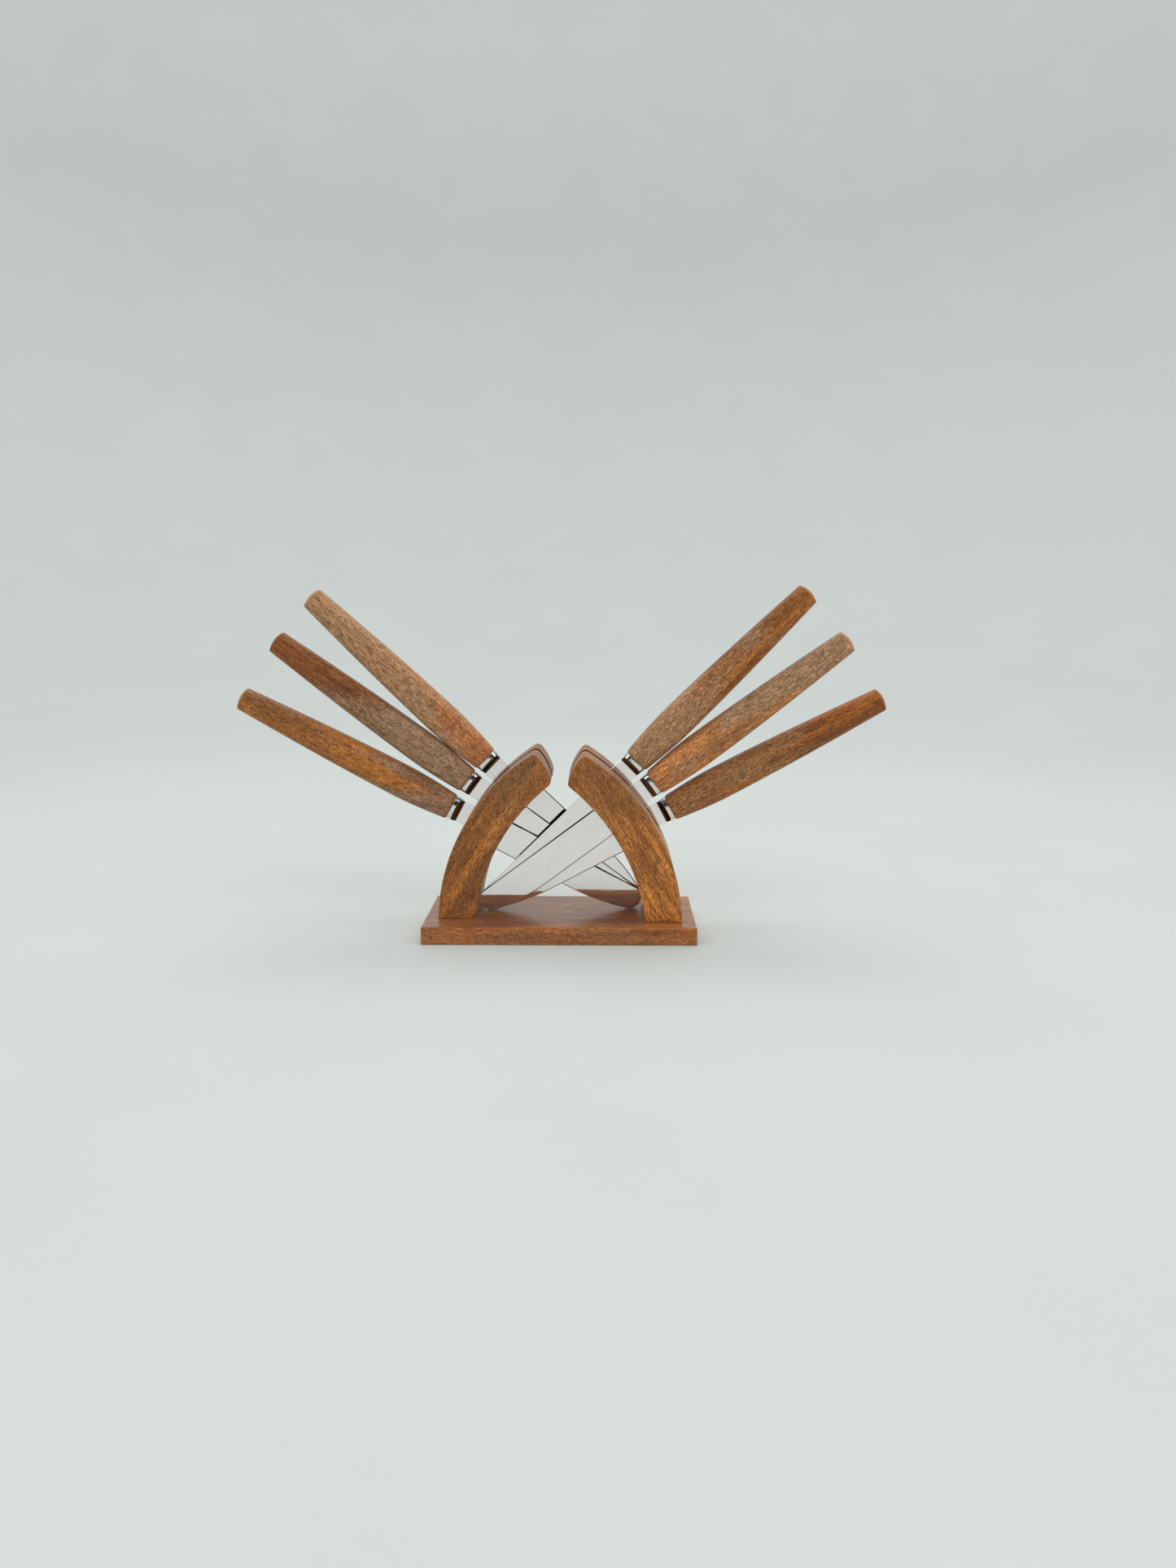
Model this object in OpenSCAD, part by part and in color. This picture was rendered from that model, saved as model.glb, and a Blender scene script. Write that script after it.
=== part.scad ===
// Table-knife stand: a base board, two curved uprights with a saw kerf each,
// and six wooden-handled knives that cross below the uprights in two fans.
// Millimetres. X runs side to side, Y front to back, Z up.
// The origin is the middle of the base board's underside.

/* [Base board] */
// Length of the base board, side to side
base_l = 120; // [116:1:130]
// Depth of the base board, front to back
base_d = 54; // [54:1:70]
// Thickness of the base board
base_t = 7.8; // [7:0.1:12]

/* [Uprights] */
// Thickness of an upright, front to back
upright_t = 39; // [34:1:42]
// Width of an upright's foot, side to side
foot_w = 16.2; // [14:0.1:18]
// Distance from the board's end to the upright's foot
foot_inset = 5.8; // [4:0.1:8]
// Radius of the convex outer face
outer_r = 91; // [88:0.5:96]
// Depth of the outer face's centre below the board's top
outer_drop = 3.2; // [2:0.1:5]
// Radius of the concave inner face
inner_r = 92; // [88:0.5:96]
// Depth of the inner face's centre below the board's top
inner_drop = 11.5; // [9:0.5:13]
// Radius of the crowned end face at the top
end_r = 27; // [22:1:60]
// Offset of each upright's middle from the board's middle, left then right
upright_y = [6.5, 2.1];
// Width of the saw kerf that holds three blades
kerf_w = 4.8; // [4.8:0.1:5]

/* [Fans of knives] */
// Slope of the left-hand knives, top to bottom
left_slopes = [43.4, 36.6, 27.9];
// Slope of the right-hand knives, top to bottom
right_slopes = [44.7, 36.8, 27.9];
// Which left-hand knives sit edge up, top to bottom
left_flips = [true, false, false];
// Which right-hand knives sit edge up, top to bottom
right_flips = [false, false, false];
// Lane of each left-hand blade in its kerf, below 0 in front of its middle, above 0 behind it
left_lanes = [1.1, 0.1, -0.9];
// Lane of each right-hand blade in its kerf, below 0 in front of its middle, above 0 behind it
right_lanes = [0, -1.1, 0.9];
// Distance between lanes whose numbers differ by one
lane_gap = 1.6; // [1.5:0.1:1.6]
// Distance from the stand's middle to the point where the tips gather
gather_x = 31.7; // [28:0.1:31.8]
// Gap between the lowest point of each tip and the base board
tip_gap = 0.4; // [0.3:0.1:3]

/* [Blade] */
// Thickness of the blade at its spine
blade_t = 0.8; // [0.7:0.1:0.8]
// Thickness that the ground wedge comes down to at the edge
edge_t = 0.25; // [0.2:0.05:0.4]
// Height of the spine above the knife's centre line
spine_h = 5.9; // [5.4:0.1:6]
// Depth of the edge below the knife's centre line
edge_h = 8.1; // [7.6:0.1:8.2]
// Half height of the narrow part between bolster and heel
neck_h = 5.0; // [4.6:0.1:5.1]
// Distance from the bolster's back to the centre of the rounded tip
tip_s = 91.6; // [88:0.1:92]
// Radius of the rounded tip
tip_r = 5; // [4:0.1:6]
// Distance from the bolster's back to where the edge starts to curve up
belly_s = 66; // [60:1:70]
// Radius of the edge's curve up to the tip
belly_r = 95; // [90:1:130]
// Distance from the bolster's back to where the heel has its full depth
heel_s = 28; // [25:1:30]
// Radius of the heel's two blending curves
heel_r = 14; // [10:1:16]

/* [Tang] */
// Height of the tang that runs into the handle
tang_w = 5; // [4:0.1:6]
// Length of the tang behind the bolster
tang_l = 58; // [30:1:80]
// Room around the tang in the bolster and the handle
tang_room = 0.15; // [0.1:0.05:0.3]

/* [Bolster] */
// Length of the bolster along the knife
bolster_l = 4.5; // [4:0.1:6]
// Half height of the bolster against the wood
bolster_h = 5.4; // [5:0.1:5.5]
// Half thickness of the bolster against the wood
bolster_t = 4.5; // [4:0.1:5]

/* [Handle] */
// Length of the wooden handle
handle_l = 106; // [95:0.5:115]
// Distance from the bolster to the fattest part of the handle
swell_s = 26; // [22:1:36]
// Half height of the handle at the bolster, at its swell and at its end
handle_h = [5.9, 7.5, 5.1];
// Half thickness of the handle at the bolster, at its swell and at its end
handle_t = [5.0, 6.2, 4.5];
// Height of the crown on the end of the handle
crown_l = 1.1; // [0.5:0.1:2]
// Length of the handle's rounding against the bolster
ease_l = 1.2; // [0.6:0.1:2]
// Depth of that rounding
ease_d = 0.5; // [0.2:0.05:0.6]

/* [Screws] */
// Length of the wood screws under the uprights
screw_l = 28; // [22:1:36]
// Diameter of the screw's shank
shank_d = 3.6; // [3:0.1:4]
// Diameter of the screw's core in the upright
core_d = 2.8; // [2.4:0.1:3]
// Diameter of the screw's countersunk head
head_d = 7.2; // [6:0.1:8]
// Distance of each screw from its upright's middle
screw_y = 12; // [10:1:13]

/* [Hidden] */
$fn = 96;
SIDES = ["left", "right"];
LEVELS = ["top", "middle", "bottom"];
PIECES = ["blade", "bolster", "handle"];

wood = "#9a6234";
wood_dark = "#84532d";
steel = "#c9cdcd";
zinc = "#a9a48f";

top_z = base_t;
foot_x = base_l / 2 - foot_inset;
outer_x = sqrt(outer_r * outer_r - outer_drop * outer_drop) - foot_x;
inner_x = sqrt(inner_r * inner_r - inner_drop * inner_drop) - foot_x + foot_w;
// The crowned end face runs from the apex down to the inner corner.
apex_x = -10.8;
apex_z = sqrt(outer_r * outer_r - pow(outer_x - apex_x, 2)) - outer_drop;
corner_x = -3.6;
corner_z = sqrt(inner_r * inner_r - pow(inner_x - corner_x, 2)) - inner_drop;
end_chord = norm([corner_x - apex_x, corner_z - apex_z]);
end_slope = atan2(corner_z - apex_z, corner_x - apex_x);
end_rise = sqrt(end_r * end_r - end_chord * end_chord / 4);
end_x = (apex_x + corner_x) / 2 + end_rise * sin(end_slope);
end_z = (apex_z + corner_z) / 2 - end_rise * cos(end_slope);

tip_h = spine_h - tip_r;
gather_z = top_z + tip_gap + tip_r;
kerf_floor = edge_h + 0.5;
bottom_slope = left_slopes[2];
bevel_run = spine_h + edge_h;
shoulder_s = 2.6;
shoulder_t = 0.75;
rings = 14;
CROWN = [0.3, 0.65, 0.92];
sides = 24;
oval = 2.3;
big = 200;

function knife_node(side, level, piece) = str(side, "_", level, "_knife_", piece);
function pick(side, lefts, rights) = side == "left" ? lefts : rights;

// Points on an arc about c, from angle a0 to a1, in n steps.
function arc(c, r, a0, a1, n) = [for (i = [0:n]) c + r * [cos(a0 + (a1 - a0) * i / n), sin(a0 + (a1 - a0) * i / n)]];

// A value that eases from a to b as t goes from 0 to 1, level at b.
function ease_to(a, b, t) = a + (b - a) * sin(90 * t);
// A value that eases from a to b as t goes from 0 to 1, level at a.
function ease_from(a, b, t) = b + (a - b) * cos(80 * t) - (a - b) * cos(80) * t;

// Half size of the handle at a distance s behind the bolster, for sizes [front, swell, end].
function grip(size, s) = s < swell_s
    ? ease_to(size[0], size[1], s / swell_s)
    : ease_from(size[1], size[2], (s - swell_s) / (handle_l - swell_s));

// One closed ring of a rounded oval section at s along the knife.
function oval_ring(s, h, t) = [for (i = [0:sides - 1]) let (a = 360 * i / sides) [
    s,
    t * sign(cos(a)) * pow(abs(cos(a)), 2 / oval),
    h * sign(sin(a)) * pow(abs(sin(a)), 2 / oval)
]];

// A closed solid through a list of [s, half height, half thickness] stations with rising s.
module oval_loft(stations) {
    n = len(stations);
    points = [for (p = stations) each oval_ring(p[0], p[1], p[2])];
    walls = [for (k = [0:n - 2]) for (i = [0:sides - 1]) let (j = (i + 1) % sides)
        [k * sides + i, (k + 1) * sides + i, (k + 1) * sides + j, k * sides + j]];
    first = [for (i = [0:sides - 1]) i];
    last = [for (i = [sides - 1:-1:0]) (n - 1) * sides + i];
    polyhedron(points, concat([first, last], walls), convexity = 4);
}

// Side view of the left upright, with z measured from the board's top.
module upright_outline() {
    difference() {
        intersection() {
            translate([outer_x, -outer_drop]) circle(outer_r, $fn = 360);
            union() {
                translate([end_x, end_z]) circle(end_r, $fn = 180);
                translate([-big, 0]) square([big + end_x, corner_z]);
                translate([-big, 0]) square([big + apex_x, apex_z]);
            }
        }
        translate([inner_x, -inner_drop]) circle(inner_r, $fn = 360);
        translate([-big, -big]) square([2 * big, big]);
    }
}

// The space above the lowest blade's edge, which the saw has opened.
module kerf(y) {
    translate([gather_x, y + kerf_w / 2, gather_z]) rotate([0, bottom_slope, 0])
        translate([-big, 0, -tip_h - kerf_floor]) rotate([90, 0, 0])
            linear_extrude(kerf_w) square([big, big]);
}

module screw_places(y) {
    for (dy = [-screw_y, screw_y])
        translate([-foot_x + foot_w / 2, y + dy, 0]) children();
}

module left_form(y) {
    difference() {
        translate([0, y + upright_t / 2, top_z]) rotate([90, 0, 0])
            linear_extrude(upright_t) upright_outline();
        kerf(y);
        screw_places(y) translate([0, 0, top_z - 1]) cylinder(d = core_d, h = screw_l - top_z + 2);
    }
}

module left_upright() {
    color(wood) left_form(upright_y[0]);
}

module right_upright() {
    color(wood) mirror([1, 0, 0]) left_form(upright_y[1]);
}

module screw_hole() {
    translate([0, 0, -1]) cylinder(d = shank_d + 0.4, h = base_t + 2);
    translate([0, 0, -0.01]) cylinder(d1 = head_d + 0.6, d2 = shank_d + 0.4, h = head_d / 2 - 1.5);
}

module base_board() {
    color(wood_dark) difference() {
        translate([-base_l / 2, -base_d / 2, 0]) cube([base_l, base_d, base_t]);
        screw_places(upright_y[0]) screw_hole();
        mirror([1, 0, 0]) screw_places(upright_y[1]) screw_hole();
    }
}

// A countersunk wood screw, point up, with its slotted head 0.3 above the underside.
module screw() {
    translate([0, 0, 0.3]) difference() {
        union() {
            cylinder(d1 = head_d, d2 = shank_d, h = head_d / 2 - 1.8);
            cylinder(d = shank_d, h = base_t - 0.6);
            cylinder(d = core_d, h = screw_l - 3);
            translate([0, 0, screw_l - 3]) cylinder(d1 = core_d, d2 = 0.4, h = 2.4);
        }
        translate([-head_d, -0.5, -1]) cube([2 * head_d, 1, 1.9]);
    }
}

module left_screws() {
    color(zinc) screw_places(upright_y[0]) screw();
}

module right_screws() {
    color(zinc) mirror([1, 0, 0]) screw_places(upright_y[1]) screw();
}

// Side view of the blade: s along the knife from the bolster's back, h up from its centre line.
module blade_outline() {
    heel_drop = edge_h - neck_h;
    heel_turn = acos(1 - heel_drop / (2 * heel_r));
    heel_back = heel_s - 2 * heel_r * sin(heel_turn);
    belly_end = asin((tip_s - belly_s) / belly_r);
    polygon(concat(
        [[bolster_l, neck_h], [heel_s, spine_h]],
        arc([tip_s, tip_h], tip_r, 90, -70, 24),
        arc([belly_s, belly_r - edge_h], belly_r, belly_end - 90, -90, 12),
        arc([heel_s, heel_r - edge_h], heel_r, -90, -90 - heel_turn, 6),
        arc([heel_back, -neck_h - heel_r], heel_r, 90 - heel_turn, 90, 6),
        [[bolster_l, -neck_h]]
    ));
}

module blade_form() {
    intersection() {
        translate([0, blade_t / 2, 0]) rotate([90, 0, 0])
            linear_extrude(blade_t) blade_outline();
        rotate([90, 0, 90]) linear_extrude(big) polygon([
            [-blade_t / 2, spine_h],
            [blade_t / 2, spine_h],
            [edge_t / 2, spine_h - bevel_run],
            [-edge_t / 2, spine_h - bevel_run]
        ]);
    }
    tang(0, tang_l + bolster_l);
}

// The flat tang, grown by some room all round when it cuts its own slot.
module tang(room, length) {
    translate([bolster_l - length, -blade_t * 0.45 - room, -tang_w / 2 - room])
        cube([length, blade_t * 0.9 + 2 * room, tang_w + 2 * room]);
}

module bolster_form() {
    difference() {
        oval_loft([
            [0, bolster_h, bolster_t],
            [shoulder_s, bolster_h - 0.15, bolster_t - 0.3],
            [bolster_l, neck_h + 0.05, shoulder_t]
        ]);
        tang(tang_room, tang_l);
    }
}

// The handle's end is crowned: its section shrinks with the square root of the way out.
module handle_form() {
    side_l = handle_l - crown_l;
    crown = [for (k = CROWN) [-side_l - crown_l * (1 - k * k), handle_h[2] * k, handle_t[2] * k]];
    length = [for (i = [0:rings]) let (s = ease_l + (side_l - ease_l) * pow(1 - i / rings, 1.3))
        [-s, grip(handle_h, s), grip(handle_t, s)]];
    front = [for (k = [0.35, 0]) let (s = ease_l * k, d = ease_d * (1 - sqrt(1 - pow(1 - k, 2))))
        [-s, grip(handle_h, s) - d, grip(handle_t, s) - d]];
    difference() {
        oval_loft(concat(crown, length, front));
        tang(tang_room, tang_l + bolster_l + 1);
    }
}

// Puts a knife in its place: the tip's centre at the gathering point, then sloped.
module seat(side, level) {
    i = search([level], LEVELS)[0];
    slope = pick(side, left_slopes, right_slopes)[i];
    lane = pick(side, left_lanes, right_lanes)[i];
    roll = pick(side, left_flips, right_flips)[i] ? 180 : 0;
    y = pick(side, upright_y[0], upright_y[1]) + lane * lane_gap;
    mirror([side == "right" ? 1 : 0, 0, 0]) translate([gather_x, y, gather_z])
        rotate([0, slope, 0]) rotate([roll, 0, 0]) translate([-tip_s, 0, -tip_h]) children();
}

module knife_piece(piece) {
    if (piece == "blade") color(steel) blade_form();
    if (piece == "bolster") color(steel) bolster_form();
    if (piece == "handle") color(wood) handle_form();
}

base_board();
left_upright();
right_upright();
left_screws();
right_screws();
for (side = SIDES) for (level = LEVELS) for (piece = PIECES)
    seat(side, level) knife_piece(piece);
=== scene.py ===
"""Looks of a wooden table-knife stand: base board, two kerfed uprights and six knives.

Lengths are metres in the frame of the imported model: X side to side, Y front to back, Z up.
Every piece is a surface worked out with numpy in axes of its own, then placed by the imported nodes.
"""
import logging
import math
from collections.abc import Sequence
from dataclasses import dataclass, field
from enum import Enum

import bmesh
import bpy
import numpy as np
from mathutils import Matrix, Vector


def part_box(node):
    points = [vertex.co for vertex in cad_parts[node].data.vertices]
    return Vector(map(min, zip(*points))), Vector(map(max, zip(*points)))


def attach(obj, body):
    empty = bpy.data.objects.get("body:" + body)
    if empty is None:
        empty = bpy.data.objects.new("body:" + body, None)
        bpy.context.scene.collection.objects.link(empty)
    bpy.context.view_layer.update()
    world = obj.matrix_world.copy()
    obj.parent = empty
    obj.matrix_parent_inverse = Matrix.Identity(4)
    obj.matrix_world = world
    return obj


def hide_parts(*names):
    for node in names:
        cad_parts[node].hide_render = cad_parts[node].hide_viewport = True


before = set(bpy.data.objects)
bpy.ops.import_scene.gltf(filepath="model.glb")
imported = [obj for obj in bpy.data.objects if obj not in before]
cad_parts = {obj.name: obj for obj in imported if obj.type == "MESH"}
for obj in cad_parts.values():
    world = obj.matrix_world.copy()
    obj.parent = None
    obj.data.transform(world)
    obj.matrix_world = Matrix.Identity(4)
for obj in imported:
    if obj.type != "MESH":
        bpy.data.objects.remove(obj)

LOG = logging.getLogger("knife_stand")
MM = 0.001
Array = np.ndarray
Colour = tuple[float, float, float]
Socket = bpy.types.NodeSocket
Value = float | Socket
Tint = Colour | Socket


class Side(Enum):
    """The two fans, with the sign of X on which each one's handles lie."""

    LEFT = -1
    RIGHT = 1

    @property
    def word(self) -> str:
        """The side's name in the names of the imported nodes.

        Returns:
            The word left or right.
        """
        return self.name.lower()


class Level(Enum):
    """Place of a knife in its fan, from the top down."""

    TOP = "top"
    MIDDLE = "middle"
    BOTTOM = "bottom"


# ---------------------------------------------------------------- geometry helpers


def unit(vector: Array) -> Array:
    """The vector at length one.

    Args:
        vector: Any vector but zero.

    Returns:
        A vector along it with length one.
    """
    return vector / np.linalg.norm(vector)


def ripple(at: Array, seed: int, waves: int = 7, lowest: float = 1.0) -> Array:
    """A smooth wandering value of about -1 to 1.

    Formula: a sum of sines of rising frequency and falling height, with seeded phases.

    Args:
        at: Positions, where one unit is one turn of the slowest wave.
        seed: Chooses the phases.
        waves: How many sines are added.
        lowest: Frequency of the slowest wave.

    Returns:
        One value for each position.
    """
    rng = np.random.default_rng(seed)
    order = lowest * 1.7 ** np.arange(waves)
    phase = rng.uniform(0.0, 2.0 * math.pi, waves)
    height = order**-0.6
    turns = 2.0 * math.pi * at[..., None] * order + phase
    return (np.sin(turns) * height).sum(-1) / height.sum() * 1.8


def ease(t: Array) -> Array:
    """The smooth step 3t^2 - 2t^3, held at 0 and 1 outside its span.

    Args:
        t: Numbers; 0 to 1 is the span.

    Returns:
        The smooth steps, in the same shape.
    """
    t = np.clip(t, 0.0, 1.0)
    return t * t * (3.0 - 2.0 * t)


def arc(centre: Sequence[float], radius: float, start: float, end: float, steps: int) -> Array:
    """Points on a circular arc, angles in degrees, as an array of steps + 1 rows.

    Args:
        centre: Centre, in two numbers.
        radius: Radius.
        start: First angle.
        end: Last angle.
        steps: Number of steps.

    Returns:
        The points.
    """
    angle = np.radians(np.linspace(start, end, steps + 1))
    return np.asarray(centre) + radius * np.stack([np.cos(angle), np.sin(angle)], -1)


def resample(line: Array, at: Array) -> Array:
    """Points at fractions of a polyline's length.

    Args:
        line: The polyline's points, one row each.
        at: Fractions from 0 to 1.

    Returns:
        One row for each fraction.
    """
    run = np.r_[0.0, np.cumsum(np.linalg.norm(np.diff(line, axis=0), axis=1))]
    where = at * run[-1]
    return np.stack([np.interp(where, run, line[:, k]) for k in range(line.shape[1])], -1)


def oval(angle: Array, power: float) -> tuple[Array, Array]:
    """Cosine and sine of a rounded-square oval: each keeps its sign and is raised to 2 / power.

    Args:
        angle: Angles in radians.
        power: 2 for an ellipse, more for a squarer oval.

    Returns:
        The two factors for the half width and the half height.
    """
    c, s = np.cos(angle), np.sin(angle)
    return np.sign(c) * np.abs(c) ** (2.0 / power), np.sign(s) * np.abs(s) ** (2.0 / power)


@dataclass(frozen=True)
class Axes:
    """Local axes with an origin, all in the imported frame."""

    origin: Array
    along: Array
    across: Array
    up: Array

    def place(self, local: Array) -> Array:
        """Local points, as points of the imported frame.

        Args:
            local: Points in the axes, one row each.

        Returns:
            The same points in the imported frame.
        """
        return self.origin + local @ np.stack([self.along, self.across, self.up])

    def local(self, points: Array) -> Array:
        """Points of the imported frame, as local points.

        Args:
            points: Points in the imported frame, one row each.

        Returns:
            The same points in the axes.
        """
        return (points - self.origin) @ np.stack([self.along, self.across, self.up]).T


@dataclass
class Shell:
    """A surface being put together from patches of points and faces."""

    points: list[Array] = field(default_factory=list)
    faces: list[Array] = field(default_factory=list)

    def _count(self) -> int:
        """How many points are in the shell so far.

        Returns:
            The number of points.
        """
        return sum(len(p) for p in self.points)

    def add_patch(self, grid: Array) -> None:
        """Adds a sheet of quads over a grid of points of shape (rows, columns, 3).

        Args:
            grid: The points.
        """
        rows, cols = grid.shape[:2]
        index = self._count() + np.arange(rows * cols).reshape(rows, cols)
        quads = np.stack([index[:-1, :-1], index[1:, :-1], index[1:, 1:], index[:-1, 1:]], -1)
        self.points.append(grid.reshape(-1, 3))
        self.faces.append(quads.reshape(-1, 4))

    def add_tube(self, rings: Array, start: bool = True, end: bool = True) -> None:
        """Adds closed rings joined into a tube.

        Args:
            rings: Points of shape (rings, points in a ring, 3).
            start: Whether the first ring is closed by a fan about its middle.
            end: Whether the last ring is closed by a fan about its middle.
        """
        count, size = rings.shape[:2]
        first = self._count()
        index = first + np.arange(count * size).reshape(count, size)
        after = np.roll(index, -1, axis=1)
        quads = np.stack([index[:-1], index[1:], after[1:], after[:-1]], -1)
        self.points.append(rings.reshape(-1, 3))
        self.faces.append(quads.reshape(-1, 4))
        ends = ((start, rings[0], index[0], after[0]), (end, rings[-1], after[-1], index[-1]))
        for wanted, ring, one, two in ends:
            if wanted:
                pole = np.full(size, self._count())
                self.points.append(ring.mean(0)[None])
                self.faces.append(np.stack([one, two, pole], -1))

    def build(self, name: str, sharp: float = 32.0, merge: float = 0.0) -> bpy.types.Object:
        """Makes the shell an object with its faces turned outwards.

        Args:
            name: The object's name.
            sharp: Edges that turn by more degrees than this are shaded as creases.
            merge: Distance within which points are joined, or 0 to join none.

        Returns:
            The new object, linked to the scene.
        """
        points = np.concatenate(self.points)
        corners = np.concatenate([f.ravel() for f in self.faces]).astype(np.int32)
        sizes = np.concatenate([np.full(len(f), f.shape[1]) for f in self.faces])
        starts = np.r_[0, np.cumsum(sizes)[:-1]].astype(np.int32)
        mesh = bpy.data.meshes.new(name)
        mesh.vertices.add(len(points))
        mesh.vertices.foreach_set("co", points.astype(np.float32).ravel())
        mesh.loops.add(len(corners))
        mesh.loops.foreach_set("vertex_index", corners)
        mesh.polygons.add(len(starts))
        mesh.polygons.foreach_set("loop_start", starts)
        mesh.update(calc_edges=True)
        mesh.validate()
        work = bmesh.new()
        work.from_mesh(mesh)
        if merge:
            bmesh.ops.remove_doubles(work, verts=work.verts, dist=merge)
        bmesh.ops.recalc_face_normals(work, faces=work.faces)
        work.to_mesh(mesh)
        work.free()
        item = bpy.data.objects.new(name, mesh)
        bpy.context.scene.collection.objects.link(item)
        crease(item, sharp)
        return item


def crease(item: bpy.types.Object, degrees: float) -> None:
    """Shades an object smooth, with creases at edges that turn by more than some degrees.

    Args:
        item: The object.
        degrees: The angle.
    """
    mesh = item.data
    mesh.polygons.foreach_set("use_smooth", np.ones(len(mesh.polygons), bool))
    mesh.set_sharp_from_angle(angle=math.radians(degrees))
    mesh.update()


def vertices(item: bpy.types.Object) -> Array:
    """An object's points, one row each.

    Args:
        item: The object.

    Returns:
        The points as an array of three columns.
    """
    flat = np.empty(len(item.data.vertices) * 3, np.float32)
    item.data.vertices.foreach_get("co", flat)
    return flat.reshape(-1, 3).astype(float)


def mark(item: bpy.types.Object, name: str, values: Array, domain: str = "POINT") -> None:
    """Stores one number or one vector for each point or face of an object, under a name.

    Args:
        item: The object.
        name: The attribute's name.
        values: One row for each point or face.
        domain: POINT or FACE.
    """
    kind, key = ("FLOAT", "value") if values.ndim == 1 else ("FLOAT_VECTOR", "vector")
    layer = item.data.attributes.new(name, kind, domain)
    layer.data.foreach_set(key, values.astype(np.float32).ravel())


def carve(solid: bpy.types.Object, cutters: Sequence[bpy.types.Object]) -> None:
    """Cuts some solids out of another one, for good, and removes them.

    Args:
        solid: The object to cut.
        cutters: The closed shapes to take away.
    """
    for cutter in cutters:
        cut = solid.modifiers.new("cut", "BOOLEAN")
        cut.operation = "DIFFERENCE"
        cut.solver = "EXACT"
        cut.object = cutter
    graph = bpy.context.evaluated_depsgraph_get()
    carved = bpy.data.meshes.new_from_object(solid.evaluated_get(graph))
    solid.modifiers.clear()
    solid.data = carved
    for cutter in cutters:
        bpy.data.objects.remove(cutter)


# ---------------------------------------------------------------- materials


def linear(red: int, green: int, blue: int) -> Colour:
    """A display colour of 0 to 255 as scene-linear light.

    Args:
        red: Red.
        green: Green.
        blue: Blue.

    Returns:
        The three linear values.
    """
    parts = np.array([red, green, blue]) / 255.0
    light = np.where(parts <= 0.04045, parts / 12.92, ((parts + 0.055) / 1.055) ** 2.4)
    return tuple(float(v) for v in light)


@dataclass
class Graph:
    """Short ways to add and join shader nodes in one tree."""

    tree: bpy.types.NodeTree

    def add(self, kind: str, inputs: dict | None = None, **settings) -> bpy.types.Node:
        """Adds a node.

        Args:
            kind: Blender's name for the node type.
            inputs: Sockets or plain values, by input name or number.
            **settings: The node's own properties.

        Returns:
            The new node.
        """
        node = self.tree.nodes.new(kind)
        for name, value in settings.items():
            setattr(node, name, value)
        for name, value in (inputs or {}).items():
            if isinstance(value, bpy.types.NodeSocket):
                self.tree.links.new(value, node.inputs[name])
            else:
                node.inputs[name].default_value = value
        return node

    def math(self, operation: str, a: Value, b: Value = 0.0, clamp: bool = False) -> Socket:
        """One arithmetic step on two numbers or sockets.

        Args:
            operation: Blender's name for the step.
            a: First number or socket.
            b: Second number or socket.
            clamp: Whether the result is held to 0..1.

        Returns:
            The result.
        """
        return self.add("ShaderNodeMath", {0: a, 1: b}, operation=operation, use_clamp=clamp).outputs[0]

    def span(
        self, value: Value, low: float, high: float, to_low: Value = 0.0, to_high: Value = 1.0,
    ) -> Socket:
        """A smooth step that takes low..high to to_low..to_high and holds the ends.

        Args:
            value: The number or socket.
            low: Start of the span.
            high: End of the span.
            to_low: Result below the span.
            to_high: Result above the span.

        Returns:
            The result.
        """
        inputs = {"Value": value, "From Min": low, "From Max": high, "To Min": to_low, "To Max": to_high}
        return self.add("ShaderNodeMapRange", inputs, interpolation_type="SMOOTHSTEP").outputs[0]

    def stretch(self, vector: Socket, factors: Sequence[float]) -> Socket:
        """A vector multiplied part by part.

        Args:
            vector: The vector socket.
            factors: Three factors.

        Returns:
            The result.
        """
        node = self.add("ShaderNodeVectorMath", {0: vector, 1: tuple(factors)}, operation="MULTIPLY")
        return node.outputs[0]

    def noise(self, vector: Socket, detail: float = 2.0, rough: float = 0.5, warp: float = 0.0) -> Socket:
        """Cloudy noise of scale one.

        Args:
            vector: The vector socket.
            detail: Number of finer layers.
            rough: How strong they are.
            warp: How far the noise distorts itself.

        Returns:
            The noise, from 0 to 1.
        """
        inputs = {"Vector": vector, "Scale": 1.0, "Detail": detail, "Roughness": rough, "Distortion": warp}
        return self.add("ShaderNodeTexNoise", inputs).outputs[0]

    def mix(self, factor: Value, a: Tint, b: Tint, blend: str = "MIX") -> Socket:
        """Two colours mixed by a factor.

        Args:
            factor: Share of the second colour.
            a: First colour or socket.
            b: Second colour or socket.
            blend: Blender's name for the blend.

        Returns:
            The mixed colour.
        """
        node = self.tree.nodes.new("ShaderNodeMix")
        node.data_type = "RGBA"
        node.blend_type = blend
        for socket, value in zip((node.inputs[0], node.inputs[6], node.inputs[7]), (factor, a, b)):
            if isinstance(value, bpy.types.NodeSocket):
                self.tree.links.new(value, socket)
            else:
                socket.default_value = value if isinstance(value, float) else (*value[:3], 1.0)
        return node.outputs[2]


def new_group(name: str, inputs: dict[str, str], outputs: dict[str, str]) -> tuple[bpy.types.NodeTree, Graph]:
    """An empty shader node group.

    Args:
        name: The group's name.
        inputs: Socket type by input name.
        outputs: Socket type by output name.

    Returns:
        The group and a graph for its tree, which has the input and output nodes.
    """
    tree = bpy.data.node_groups.new(name, "ShaderNodeTree")
    for direction, sockets in (("INPUT", inputs), ("OUTPUT", outputs)):
        for label, kind in sockets.items():
            tree.interface.new_socket(label, in_out=direction, socket_type=f"NodeSocket{kind}")
    tree.nodes.new("NodeGroupInput")
    tree.nodes.new("NodeGroupOutput")
    return tree, Graph(tree)


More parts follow.
